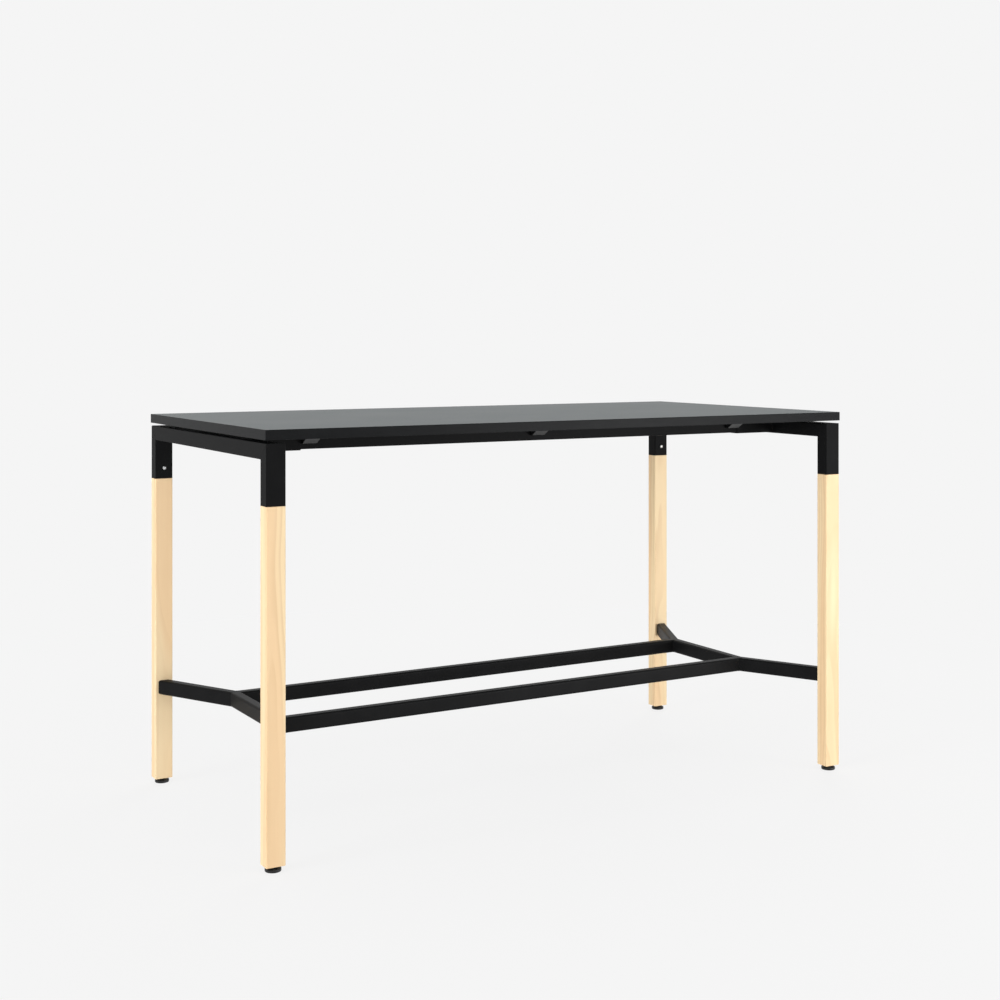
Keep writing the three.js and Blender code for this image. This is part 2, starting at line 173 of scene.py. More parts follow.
# Black powder coat: a fine orange peel over a semi-matt film, glossier on the pressed bearers, and on the foot
# frame a lighter colour, painted light that stands in for the light reaching the low rails
coatLook = {
    "frameCoat": {"dark": (0.0043, 0.0044, 0.0047), "light": (0.0068, 0.0069, 0.0072), "roughness": 0.45, "sheen": 0.05},
    # Foot frame: coat colour painted lighter to stand in for the light that reaches the low rails
    "footCoatPaintedLight": {"dark": (0.0062, 0.0063, 0.0066), "light": (0.0098, 0.0099, 0.0103), "roughness": 0.36, "sheen": 0.06},
    "bearerCoat": {"dark": (0.0040, 0.0041, 0.0044), "light": (0.0064, 0.0065, 0.0068), "roughness": 0.42, "sheen": 0.6},
}


def powderCoat(name):
    material, finish = newFinish(name)
    look = coatLook[name]
    peel = finish.noise((1100, 1100, 1100))
    flow = finish.noise((260, 260, 260), 1.0)
    cloud = finish.noise((14, 14, 14))
    shade = finish.between(peel * 0.5 + cloud * 0.5, 0.3, 0.7)
    colour = finish.mix(shade, look["dark"], look["light"])
    roughness = look["roughness"] + 0.08 * peel + 0.05 * cloud
    normal = finish.bump(peel * 0.6 + flow * 0.4, 0.06 * mm, 0.5)
    finish.surface(Base_Color=colour, Roughness=roughness, Normal=normal, Specular_IOR_Level=look["sheen"])
    return material


# Pale close-grained hardwood: flat-sawn growth rings that show in places, warm bands along them, fine fibres
woodLook = {
    "pale": (0.86, 0.670, 0.415),
    "warm": (0.83, 0.590, 0.345),
    "line": (0.66, 0.43, 0.22),
    "ring": 10.0,
    "wander": 0.06,
    "roughness": 0.46,
}


def timber():
    material, finish = newFinish("timber")
    sway = finish.noise((13, 13, 1.9), 2.0, 0.35)
    depth = 0.2 * finish.axis("X") + 0.95 * finish.axis("Y") + 0.01 * finish.axis("Z")
    ring = (depth + woodLook["wander"] * sway) / (woodLook["ring"] * mm)
    part = ring.maths("FRACT", ring, 0.0)
    latewood = finish.between(part, 0.3, 0.88) * finish.between(part, 0.9, 1.0, 1.0, 0.0)
    band = finish.between(ring.maths("PINGPONG", 0.43 * ring, 1.0), 0.1, 0.9)
    shown = finish.between(finish.noise((11, 11, 1.6)), 0.36, 0.6)
    fibre = finish.noise((700, 700, 9), 3.0, 0.6)
    streak = finish.noise((70, 70, 1.8))
    fleck = finish.between(finish.noise((1400, 1400, 110), 1.0), 0.68, 0.8)
    tone = finish.between(0.32 * streak + 0.26 * fibre + 0.42 * band, 0.2, 0.8)
    body = finish.mix(tone, woodLook["pale"], woodLook["warm"])
    ringed = finish.over(latewood * (0.07 + 0.34 * shown), body, woodLook["line"])
    colour = finish.over(0.3 * fleck, ringed, woodLook["line"])
    roughness = woodLook["roughness"] + 0.1 * fibre
    normal = finish.bump(fibre * 0.7 + 0.3 * latewood, 0.04 * mm, 0.35)
    finish.surface(Base_Color=colour, Roughness=roughness, Normal=normal, Specular_IOR_Level=0.35)
    return material


# Bright zinc plate: blueish metal with a faint yellow drift, dulled in places
zincLook = {"blue": (0.55, 0.565, 0.58), "warm": (0.58, 0.56, 0.52), "roughness": 0.3}


def zincPlate():
    material, finish = newFinish("zincPlate")
    drift = finish.noise((90, 90, 90))
    grain = finish.noise((2400, 2400, 2400), 1.0)
    colour = finish.mix(finish.between(drift, 0.35, 0.7), zincLook["blue"], zincLook["warm"])
    roughness = zincLook["roughness"] + 0.16 * drift + 0.06 * grain
    normal = finish.bump(grain, 0.01 * mm, 0.4)
    finish.surface(Base_Color=colour, Roughness=roughness, Normal=normal, Metallic=1.0)
    return material


# Black moulded nylon: the skin of a spark-eroded mould
nylonLook = {"dark": (0.004, 0.004, 0.004), "light": (0.008, 0.008, 0.008), "roughness": 0.36}


def blackNylon():
    material, finish = newFinish("blackNylon")
    skin = finish.noise((1800, 1800, 1800))
    cloud = finish.noise((120, 120, 120))
    shade = finish.between(skin * 0.5 + cloud * 0.5, 0.3, 0.7)
    colour = finish.mix(shade, nylonLook["dark"], nylonLook["light"])
    roughness = nylonLook["roughness"] + 0.1 * cloud
    normal = finish.bump(skin, 0.05 * mm, 0.5)
    finish.surface(Base_Color=colour, Roughness=roughness, Normal=normal, Specular_IOR_Level=0.4)
    return material


boardFinish = facedBoard()
bandFinish = edgePlastic()
coatFinish = powderCoat("frameCoat")
# Foot frame finish, its lighter colour painted light
footPaintedLightFinish = powderCoat("footCoatPaintedLight")
bearerFinish = powderCoat("bearerCoat")
timberFinish = timber()
zincFinish = zincPlate()
nylonFinish = blackNylon()
print("finishes made")


# Rounded rectangle: a quarter circle at each corner, a held point just along each straight side, and
# evenly spaced points between. The inset moves every side in and tightens the corners by as much.
def roundedOutline(halfX, halfY, radius, steps=6, between=0, hold=0.15 * mm):
    quarter = math.pi / 2
    turn = np.concatenate([[0], np.linspace(0, quarter, steps), [quarter]])
    slide = np.zeros(steps + 2)
    slide[0], slide[-1] = -hold, hold
    turn = (turn + quarter * np.arange(4)[:, None]).ravel()
    slide = np.tile(slide, 4)
    signX = np.repeat([1, -1, -1, 1], steps + 2)
    signY = np.repeat([1, 1, -1, -1], steps + 2)

    def at(inset):
        inset = np.asarray(inset, float)[:, None]
        bend = np.maximum(radius - inset, 0.05 * mm)
        across = signX * (halfX - inset - bend) + bend * np.cos(turn) - slide * np.sin(turn)
        along = signY * (halfY - inset - bend) + bend * np.sin(turn) + slide * np.cos(turn)
        ring = np.stack([across, along], -1)
        return addBetween(ring, steps + 2, between)

    return at


# Points evenly between each corner's last point and the next corner's first
def addBetween(ring, perCorner, count):
    byCorner = ring.reshape(len(ring), 4, perCorner, 2)
    last = byCorner[:, :, -1:]
    following = np.roll(byCorner[:, :, :1], -1, axis=1)
    share = (np.arange(1, count + 1) / (count + 1))[:, None]
    filled = last + (following - last) * share
    return np.concatenate([byCorner, filled], axis=2).reshape(len(ring), -1, 2)


# A bent outline: each corner of a polygon becomes an arc of its own radius that touches both sides, and a
# point on a straight side becomes a short run of points.
# The inset moves each point along the mean of its two sides' normals, over one plus their product.
def bentOutline(points, radii, steps=5):
    points = np.asarray(points, float)
    back = np.roll(points, 1, axis=0) - points
    ahead = np.roll(points, -1, axis=0) - points
    back /= np.linalg.norm(back, axis=1, keepdims=True)
    ahead /= np.linalg.norm(ahead, axis=1, keepdims=True)
    half = np.arccos(np.clip((back * ahead).sum(1), -1, 1)) / 2
    reach = np.maximum(np.asarray(radii) / np.tan(half), 0.2 * mm)
    share = np.linspace(0, 1, steps)[:, None, None]
    first = points + back * reach[:, None]
    last = points + ahead * reach[:, None]
    arc = first * (1 - share) ** 2 + 2 * points * share * (1 - share) + last * share ** 2
    ring = arc.transpose(1, 0, 2).reshape(-1, 2)
    side = np.roll(ring, -1, axis=0) - ring
    side /= np.maximum(np.linalg.norm(side, axis=1, keepdims=True), 1e-12)
    normal = np.stack([-side[:, 1], side[:, 0]], -1)
    before = np.roll(normal, 1, axis=0)
    shift = (normal + before) / (1 + (normal * before).sum(1, keepdims=True))
    return lambda inset: ring + np.asarray(inset, float)[:, None, None] * shift


# Rings of one radius, or of one radius per angle, for each row
def roundRings(radii, count=48, start=0.0):
    turn = np.linspace(0, 2 * math.pi, count, endpoint=False) + start
    radii = np.stack([np.broadcast_to(radius, count) for radius in radii])
    return np.stack([radii * np.cos(turn), radii * np.sin(turn)], -1)


# Hexagon as a radius for each angle: half its width across flats over the cosine of the angle from a flat
def hexagon(acrossFlats, count=48):
    turn = np.linspace(0, 2 * math.pi, count, endpoint=False)
    return acrossFlats / 2 / np.cos(turn % (math.pi / 3) - math.pi / 6)


# Stands rings in space: origin + across * first axis + along * second axis + height * third axis
def standOn(rings, heights, origin, axes):
    heights = np.broadcast_to(np.asarray(heights, float), rings.shape[:2])
    place = rings[..., :1] * axes[0] + rings[..., 1:] * axes[1] + heights[..., None] * axes[2]
    return np.asarray(origin, float) + place


# Skin over a stack of rings: quads between neighbours, then caps, or a last band back to the first ring
def loft(points, closed=False, leaveOut=()):
    rows, columns = points.shape[:2]
    grid = np.arange(rows * columns).reshape(rows, columns)
    stack = np.vstack([grid, grid[:1]]) if closed else grid
    following = np.roll(stack, -1, axis=1)
    quads = np.stack([stack[:-1], following[:-1], following[1:], stack[1:]], -1)
    kept = np.ones(quads.shape[:2], bool)
    for row, column in leaveOut:
        kept[row, column] = False
    faces = quads[kept].tolist()
    if not closed:
        faces += [grid[0, ::-1].tolist(), grid[-1].tolist()]
    return points.reshape(-1, 3), faces


# Closes a quad round a hole: a fan from each corner to a quarter of the circle, and one triangle per side
def roundHole(quad, firstPoint, count):
    ring = np.arange(count)
    nearest = ((ring + count // 8) // (count // 4)) % 4
    fans = np.stack([quad[nearest], firstPoint + (ring + 1) % count, firstPoint + ring], -1)
    middles = firstPoint + count // 8 + np.arange(4) * (count // 4)
    caps = np.stack([quad, np.roll(quad, -1), middles], -1)
    return fans.tolist() + caps.tolist()


# Circle that starts towards the first corner of a quad and turns towards its second
def holeRing(centre, radius, along, beside, count):
    turn = np.linspace(0, 2 * math.pi, count, endpoint=False) + 1.25 * math.pi
    return centre + radius * (np.cos(turn)[:, None] * along + np.sin(turn)[:, None] * beside)


def joined(shells):
    starts = np.cumsum([0] + [len(points) for points, _ in shells[:-1]]).tolist()
    faces = [[start + corner for corner in face] for start, shell in zip(starts, shells) for face in shell[1]]
    return np.concatenate([points for points, _ in shells]), faces


def addPiece(name, shell, finish, nodes=(), body="frame", crease=32):
    points, faces = shell
    mesh = bpy.data.meshes.new(name)
    mesh.from_pydata(points.tolist(), [], faces)
    mesh.polygons.foreach_set("use_smooth", np.ones(len(faces), bool))
    mesh.set_sharp_from_angle(angle=math.radians(crease))
    mesh.materials.append(finish)
    piece = bpy.data.objects.new(name, mesh)
    bpy.context.scene.collection.objects.link(piece)
    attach(piece, body)
    if nodes:
        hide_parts(*nodes)


def boxOf(node):
    low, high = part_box(node)
    return np.array(low), np.array(high)


# Quarter-round edge, from the side to the end face: distance from the end, and inset from the side
def easing(radius, steps=4, hold=0.2 * mm):
    turn = np.linspace(0, math.pi / 2, steps)
    along = np.concatenate([[radius + hold], radius * (1 - np.sin(turn)), [0]])
    inward = np.concatenate([[0], radius * (1 - np.cos(turn)), [radius + hold]])
    return along, inward


# Rows of a bar: the end each belongs to, its distance from that end, and its inset
def barRows(ease):
    along, inward = easing(ease)
    start = np.stack([np.zeros(len(along)), along, inward], -1)[::-1]
    end = np.stack([np.ones(len(along)), along, inward], -1)
    return np.vstack([start, end])


# A tube's rows go along the outer wall and back along the inner one
def tubeRows(wall, ease):
    return np.vstack([barRows(ease), [[1, 0, wall], [0, 0, wall]]])


# Carries an outline from a start cut to an end cut, each a height for every point of the section
def carried(outline, rows, startCut, endCut, origin, axes):
    rings = outline(rows[:, 2])
    start = startCut(rings[..., 0], rings[..., 1]) + rows[:, 1:2]
    end = endCut(rings[..., 0], rings[..., 1]) - rows[:, 1:2]
    return standOn(rings, np.where(rows[:, :1] == 0, start, end), origin, axes)


def squareAt(height):
    return lambda across, along: np.full(across.shape, height)


# Weld: a circle carried along a path, its radius stepping down within each ripple
def bead(path, radius, ripple=0.0, pitch=2.4 * mm, around=8, closed=True):
    ahead = np.roll(path, -1, axis=0) - np.roll(path, 1, axis=0)
    if not closed:
        ahead[0], ahead[-1] = path[1] - path[0], path[-1] - path[-2]
    ahead /= np.linalg.norm(ahead, axis=1, keepdims=True)
    outward = path - path.mean(axis=0) if closed else np.broadcast_to(zAxis, path.shape)
    outward = outward - (outward * ahead).sum(1, keepdims=True) * ahead
    outward /= np.linalg.norm(outward, axis=1, keepdims=True)
    beside = np.cross(ahead, outward)
    step = np.linalg.norm(np.roll(path, -1, axis=0) - path, axis=1)
    if not closed:
        step[-1] = 0
    run = np.concatenate([[0], np.cumsum(step)[:-1]])
    waves = max(1, round(step.sum() / pitch))
    size = radius * (1 - ripple * (run / step.sum() * waves % 1))
    turn = np.linspace(0, 2 * math.pi, around, endpoint=False)[:, None]
    ring = np.cos(turn) * outward[:, None] + np.sin(turn) * beside[:, None]
    return path[:, None] + size[:, None, None] * ring


# Points evenly spaced along a closed path
def evenly(path, spacing):
    loop = np.vstack([path, path[:1]])
    run = np.concatenate([[0], np.cumsum(np.linalg.norm(np.diff(loop, axis=0), axis=1))])
    places = np.linspace(0, run[-1], round(run[-1] / spacing), endpoint=False)
    return np.stack([np.interp(places, run, loop[:, axis]) for axis in range(3)], -1)


# Table top: a board with a hairline seam to its edge band
topSizes = {"band": 2.0, "corner": 3.0, "arris": 1.0, "arrisSteps": 7, "seam": 0.06, "seamEase": 0.2}


def makeTop():
    low, high = boxOf("edge_band")
    half = (high - low)[:2] / 2
    along, inward = easing(topSizes["arris"] * mm, topSizes["arrisSteps"])
    ease = topSizes["seamEase"] * mm
    band = topSizes["band"] * mm
    heights = np.concatenate([low[2] + along[::-1], high[2] - along,
                              [high[2], high[2] - ease, low[2] + ease, low[2]]])
    insets = np.concatenate([inward[::-1], inward, [band - ease, band, band, band - ease]])
    outline = roundedOutline(half[0], half[1], topSizes["corner"] * mm, 10)
    strip = standOn(outline(insets), heights[:, None], np.zeros(3), np.eye(3))
    addPiece("edge_band_strip", loft(strip, closed=True), bandFinish, ["edge_band"])

    inset = band + topSizes["seam"] * mm
    outline = roundedOutline(half[0] - inset, half[1] - inset, ease, 4)
    along, inward = easing(ease)
    heights = np.concatenate([low[2] + along[::-1], high[2] - along])
    board = standOn(outline(np.concatenate([inward[::-1], inward])), heights[:, None], np.zeros(3), np.eye(3))
    addPiece("table_top_board", loft(board), boardFinish, ["table_top"])


makeTop()
print("top made")

# Corner frames: posts and end rails of one tube, mitred and dressed flush at the corners
tubeSizes = {"radius": 3.0, "wall": 2.0, "ease": 0.3, "seam": 0.34, "seamInset": 0.24}


# Fills a mitre: a thin bead round the joint, set in so that it stands barely proud
def seamFill(outline, cut, origin, axes):
    row = np.array([[1, 0, tubeSizes["seamInset"] * mm]])
    path = carried(outline, row, cut, cut, origin, axes)[0]
    return loft(bead(path, tubeSizes["seam"] * mm), closed=True)


def makeCornerFrames():
    rows = tubeRows(tubeSizes["wall"] * mm, tubeSizes["ease"] * mm)
    radius = tubeSizes["radius"] * mm
    seams = []
    for end, side in corners:
        low, high = boxOf(f"post_{end}_{side}")
        middle, half = (low + high) / 2, (high - low) / 2
        outline = roundedOutline(half[0], half[1], radius)
        slope = sides[side]

        def mitre(across, along, top=high[2], reach=half[1], slope=slope):
            return top - reach + slope * along

        origin = (middle[0], middle[1], 0)
        tube = carried(outline, rows, squareAt(low[2]), mitre, origin, np.eye(3))
        addPiece(f"steel_post_{end}_{side}", loft(tube, closed=True), coatFinish,
                 [f"post_{end}_{side}"])
        seams.append(seamFill(outline, mitre, (middle[0], middle[1], 0.2 * mm), np.eye(3)))
    addPiece("corner_seams", joined(seams), coatFinish)

    for end in ends:
        low, high = boxOf(f"end_rail_{end}")
        middle, half = (low + high) / 2, (high - low) / 2
        outline = roundedOutline(half[2], half[0], radius)

        def startMitre(across, along):
            return low[1] + half[2] - across

        def endMitre(across, along):
            return high[1] - half[2] + across

        axes = np.stack([zAxis, xAxis, yAxis])
        tube = carried(outline, rows, startMitre, endMitre, (middle[0], 0, middle[2]), axes)
        addPiece(f"steel_end_rail_{end}", loft(tube, closed=True), coatFinish, [f"end_rail_{end}"])


makeCornerFrames()
print("corner frames made")

# Beams that slide into stubs welded to the end rails
beamSizes = {"radius": 3.0, "wall": 2.0, "ease": 0.3, "weld": 2.2, "ripple": 0.16}


def makeBeams():
    rows = tubeRows(beamSizes["wall"] * mm, beamSizes["ease"] * mm)
    axes = np.stack([yAxis, zAxis, xAxis])
    tubes = {f"beam_{side}": f"steel_beam_{side}" for side in sides}
    tubes.update({f"beam_stub_{end}_{side}": f"steel_stub_{end}_{side}" for end, side in corners})
    for node, name in tubes.items():
        low, high = boxOf(node)
        middle, half = (low + high) / 2, (high - low) / 2
        outline = roundedOutline(half[1], half[2], beamSizes["radius"] * mm)
        tube = carried(outline, rows, squareAt(low[0]), squareAt(high[0]), (0, middle[1], middle[2]), axes)
        addPiece(name, loft(tube, closed=True), coatFinish, [node])

    welds = []
    for end, side in corners:
        low, high = boxOf(f"beam_stub_{end}_{side}")
        middle, half = (low + high) / 2, (high - low) / 2
        outline = roundedOutline(half[1], half[2], beamSizes["radius"] * mm)
        foot = np.where(ends[end] > 0, high[0], low[0])
        row = np.array([[0, 0, 0]])
        path = carried(outline, row, squareAt(foot), squareAt(foot), (0, middle[1], middle[2]), axes)[0]
        weld = bead(evenly(path, 0.4 * mm), beamSizes["weld"] * mm, beamSizes["ripple"])
        limit = np.abs(foot) + 0.3 * mm
        weld[..., 0] = np.clip(weld[..., 0], -limit, limit)
        welds.append(loft(weld, closed=True))
    addPiece("stub_welds", joined(welds), coatFinish, crease=60)


makeBeams()
print("beams made")

# Cross bearers: pressed channel with sloped ends, notched over the beams and screwed up into the board
bearerSizes = {"taper": 40.0, "nose": 2.5, "bend": 2.5, "ease": 0.5, "access": 12.0, "skin": 2.0, "hole": 24,
               "weld": 1.8, "ripple": 0.16, "play": 0.3}


def bearerOutline(node):
    low, high = boxOf(node)
    beamLow, beamHigh = boxOf("beam_back")
    play = bearerSizes["play"] * mm
    reach = high[1]
    flat = reach - bearerSizes["taper"] * mm
    nose = high[2] - bearerSizes["nose"] * mm
    near, far, notch = beamLow[1] - play, beamHigh[1] + play, beamHigh[2] + play
    bend, tight = bearerSizes["bend"] * mm, 0.4 * mm
    right = [(near, low[2], tight), (near, notch, tight), (far, notch, tight), (far, low[2], tight),
             (flat, low[2], bend), (reach, nose, tight), (reach, high[2], tight)]
    left = [(-y, z, radius) for y, z, radius in right[::-1]]
    outline = np.array(left + [(0, low[2], tight)] + right)
    return outline[:, :2], outline[:, 2]


def makeBearer(place):
    node = f"bearer_{place}"
    low, high = boxOf(node)
    points, radii = bearerOutline(node)
    steps, count = 5, bearerSizes["hole"]
    outline = bentOutline(points, radii, steps)
    middle = (low[0] + high[0]) / 2
    axes = np.stack([yAxis, zAxis, xAxis])
    rows = barRows(bearerSizes["ease"] * mm)
    tube = carried(outline, rows, squareAt(low[0]), squareAt(high[0]), np.zeros(3), axes)
    columns = tube.shape[1]
    row = len(rows) // 2 - 1
    centreColumn = 7 * steps
    strips = {"front": centreColumn - 1, "back": centreColumn + steps - 1}
    points, faces = loft(tube, leaveOut=[(row, column) for column in strips.values()])
    roof = high[2] - bearerSizes["skin"] * mm
    for side, column in strips.items():
        screwLow, screwHigh = boxOf(f"top_screw_{place}_{side}")
        centre = np.array([middle, (screwLow[1] + screwHigh[1]) / 2, low[2]])
        quad = np.array([row * columns + column, row * columns + column + 1,
                         (row + 1) * columns + column + 1, (row + 1) * columns + column])
        mouth = holeRing(centre, bearerSizes["access"] / 2 * mm, yAxis, xAxis, count)
        ceiling = mouth + (roof - low[2]) * zAxis
        start = len(points)
        ring = np.arange(count)
        following = (ring + 1) % count
        walls = start + np.stack([ring, following, count + following, count + ring], -1)
        faces += roundHole(quad, start, count) + walls.tolist() + [(start + count + ring).tolist()]
        points = np.concatenate([points, mouth, ceiling])
    addPiece(f"steel_bearer_{place}", (points, faces), bearerFinish, [node])


# Short runs of weld where the bearers' undersides meet the beams
def makeBearerWelds():
    welds = []
    run = np.linspace(-1, 1, 100)[:, None]
    for place in ("left", "centre", "right"):
        low, high = boxOf(f"bearer_{place}")
        reach = (high[0] - low[0]) / 2 - 3 * mm
        for side in sides:
            beamLow, beamHigh = boxOf(f"beam_{side}")
            for y in (beamLow[1], beamHigh[1]):
                path = np.array([(low[0] + high[0]) / 2, y, low[2]]) + run * reach * xAxis
                weld = bead(path, bearerSizes["weld"] * mm, bearerSizes["ripple"], closed=False)
                welds.append(loft(weld))
    addPiece("bearer_welds", joined(welds), coatFinish, crease=60)


for place in ("left", "centre", "right"):
    makeBearer(place)
makeBearerWelds()
print("bearers made")

# Foot frame: two long rails coped to cross pieces and to arms that splay out to the legs
footSizes = {"radius": 6.0, "wall": 2.0, "ease": 0.3, "gap": 0.3, "plate": 3.0, "access": 14.0, "accessInset": 30.0,
             "hole": 24, "weld": 1.3, "ripple": 0.12}


def footPlan():
    crossLow, crossHigh = boxOf("foot_cross_right")
    railLow, railHigh = boxOf("foot_rail_back")
    legLow, legHigh = boxOf("leg_right_back")
    crossX = (crossLow[0] + crossHigh[0]) / 2
    elbowY = (railLow[1] + railHigh[1]) / 2
    legX = (legLow[0] + legHigh[0]) / 2
    plan = {
        "crossX": crossX,
        "elbowY": elbowY,
        "legY": legLow[1],
        "height": (railLow[2] + railHigh[2]) / 2,
        "halfWidth": (crossHigh[0] - crossLow[0]) / 2,
        "halfHeight": (railHigh[2] - railLow[2]) / 2,
        "splay": math.atan2(legX - crossX, legLow[1] - elbowY),
    }
    return plan


plan = footPlan()


def footOutline(between=0):
    return roundedOutline(plan["halfHeight"], plan["halfWidth"], footSizes["radius"] * mm, between=between)


# Cross piece: each end cut back towards the arms by half the splay
def makeCross(end):
    node = f"foot_cross_{end}"
    low, high = boxOf(node)
    slope = math.tan(plan["splay"] / 2)

    def back(across, along):
        return high[1] - slope * (plan["halfWidth"] + ends[end] * along)

    def front(across, along):
        return -back(across, along)

    rows = tubeRows(footSizes["wall"] * mm, footSizes["ease"] * mm)
    axes = np.stack([zAxis, xAxis, yAxis])
    tube = carried(footOutline(), rows, front, back, (ends[end] * plan["crossX"], 0, plan["height"]), axes)
    addPiece(f"steel_cross_{end}", loft(tube, closed=True), footPaintedLightFinish, [node])


# Arm from the elbow to the leg: mitred at one end, closed by a plate along the leg at the other
def makeArm(end, side):
    node = f"foot_arm_{end}_{side}"
    splay, gap = plan["splay"], footSizes["gap"] * mm
    outX, outY = ends[end], sides[side]
    forward = np.array([outX * math.sin(splay), outY * math.cos(splay), 0])
    beside = np.cross(forward, zAxis)
    elbow = np.array([outX * plan["crossX"], outY * plan["elbowY"], plan["height"]])
    bisector = forward + outY * yAxis

    def mitre(across, along):
        return (gap - along * (beside @ bisector)) / (forward @ bisector)

    def legFace(across, along):
        return (outY * (plan["legY"] - gap) - elbow[1] - along * beside[1]) / forward[1]

    plate = footSizes["plate"] / math.cos(splay) * mm
    wall = footSizes["wall"] * mm
    rows = np.vstack([[[1, plate, wall], [0, 0, wall]], barRows(footSizes["ease"] * mm)])
    axes = np.stack([zAxis, beside, forward])
    tube = carried(footOutline(), rows, mitre, legFace, elbow, axes)
    columns = tube.shape[1]
    under = columns // 2 - 1
    outerRow = 2 + (len(rows) - 2) // 2 - 1
    points, faces = loft(tube, leaveOut=[(0, under), (outerRow, under)])

    length = (plan["legY"] - plan["elbowY"]) / math.cos(splay)
    count = footSizes["hole"]
    centre = elbow + (length - footSizes["accessInset"] * mm) * forward - plan["halfHeight"] * zAxis
    radius = footSizes["access"] / 2 * mm
    outerRing = holeRing(centre, radius, -beside, forward, count)
    innerRing = holeRing(centre + wall * zAxis, radius, -beside, -forward, count)
    ring = np.arange(count)
    outerStart, innerStart = len(points), len(points) + count

    def quadAt(row):
        return np.array([row * columns + under, row * columns + under + 1,
                         (row + 1) * columns + under + 1, (row + 1) * columns + under])

    gapTo = np.linalg.norm(outerRing[:, None] - innerRing[None], axis=2)
    above = innerStart + gapTo.argmin(axis=1)
    walls = np.stack([outerStart + ring, outerStart + (ring + 1) % count, np.roll(above, -1), above], -1)
    faces += roundHole(quadAt(outerRow), outerStart, count) + roundHole(quadAt(0), innerStart, count)
    faces += walls.tolist()
    points = np.concatenate([points, outerRing, innerRing])
    addPiece(f"steel_arm_{end}_{side}", (points, faces), footPaintedLightFinish, [node])
    return seamFill(footOutline(), mitre, elbow - 0.5 * gap * forward, axes)


# Long rail: each end follows the flat of the cross piece, then the arm, and runs on over their rounded edges
def railEnd(across, along, outY):
    splay, radius = plan["splay"], footSizes["radius"] * mm
    crossFace = plan["crossX"] - plan["halfWidth"]
    armFace = plan["crossX"] - plan["halfWidth"] / math.cos(splay) + math.tan(splay) * outY * along
    beyond = np.maximum(np.abs(across) - (plan["halfHeight"] - radius), 0)
    rounding = radius - np.sqrt(np.maximum(radius ** 2 - beyond ** 2, 0))
    return np.maximum(crossFace, armFace) + rounding - footSizes["gap"] * mm


def makeRail(side):
    node = f"foot_rail_{side}"
    outY = sides[side]
    axes = np.stack([zAxis, -yAxis, xAxis])
    origin = (0, outY * plan["elbowY"], plan["height"])

    def right(across, along):
        return railEnd(across, -along, outY)

    def left(across, along):
        return -right(across, along)

    rows = tubeRows(footSizes["wall"] * mm, footSizes["ease"] * mm)
    outline = footOutline(9)
    tube = carried(outline, rows, left, right, origin, axes)
    addPiece(f"steel_foot_rail_{side}", loft(tube, closed=True), footPaintedLightFinish, [node])

    # Welds at both ends, dressed flush above and below
    welds = []
    for row in ([0, 0, 0], [1, 0, 0]):
        path = carried(outline, np.array([row]), left, right, origin, axes)[0]
        weld = bead(evenly(path, 0.5 * mm), footSizes["weld"] * mm, footSizes["ripple"])
        flush = plan["halfHeight"] + 0.03 * mm
        weld[..., 2] = np.clip(weld[..., 2], plan["height"] - flush, plan["height"] + flush)
        welds.append(loft(weld, closed=True))
    return welds


def makeFootFrame():
    for end in ends:
        makeCross(end)
    seams = [makeArm(end, side) for end, side in corners]
    addPiece("elbow_seams", joined(seams), footPaintedLightFinish)
    welds = [weld for side in sides for weld in makeRail(side)]
    addPiece("foot_rail_welds", joined(welds), footPaintedLightFinish, crease=60)


makeFootFrame()
print("foot frame made")

# Timber legs: eased corners, a tenon up inside the post, a stepped bore for the glide in the foot
legSizes = {"radius": 3.0, "ease": 1.0, "tenon": 85.0, "tenonInset": 2.4, "tenonChamfer": 2.0, "steps": 6,
            "flange": (10.3, 1.8), "socket": (7.3, 16.3), "bore": (4.8, 40.0)}


def makeLeg(end, side):
    node = f"leg_{end}_{side}"
    low, high = boxOf(node)
    middle, half = (low + high) / 2, (high - low) / 2
    shoulder = high[2] - legSizes["tenon"] * mm
    inset, chamfer = legSizes["tenonInset"] * mm, legSizes["tenonChamfer"] * mm
    along, inward = easing(legSizes["ease"] * mm, 5)
    outline = roundedOutline(half[0], half[1], legSizes["radius"] * mm, legSizes["steps"])
    heights = np.concatenate([low[2] + along[::-1], shoulder - along,
                              [shoulder, high[2] - chamfer, high[2]]])
    insets = np.concatenate([inward[::-1], inward, [inset, inset, inset + chamfer]])
    body = outline(insets)
    count = body.shape[1]
    radii, depths = np.array([legSizes["bore"], legSizes["bore"], legSizes["socket"], legSizes["socket"],
                              legSizes["flange"], legSizes["flange"]]).T * mm
    depths = np.array([depths[0], depths[2], depths[2], depths[4], depths[4], 0])
    hollow = roundRings(radii, count, math.pi / count)
    rings = np.concatenate([hollow, body])
    heights = np.concatenate([low[2] + depths, heights])
    leg = standOn(rings, heights[:, None], (middle[0], middle[1], 0), np.eye(3))
    addPiece(f"timber_leg_{end}_{side}", loft(leg), timberFinish, [node])


for end, side in corners:
    makeLeg(end, side)
print("legs made")

# Domed socket screws: head, hexagon socket and plain shank
screwSizes = {
    "leg_screw": {"head": 10.5, "height": 3.3, "dome": 2.0, "socket": 4.0, "shank": 6.0},
    "foot_screw": {"head": 10.0, "height": 6.0, "dome": 0.6, "socket": 5.0, "shank": 6.0},
    "beam_bolt": {"head": 11.0, "height": 3.0, "dome": 1.8, "socket": 4.0, "shank": 6.0},
    "top_screw": {"head": 9.0, "height": 3.0, "dome": 1.6, "socket": 3.0, "shank": 4.5},
}


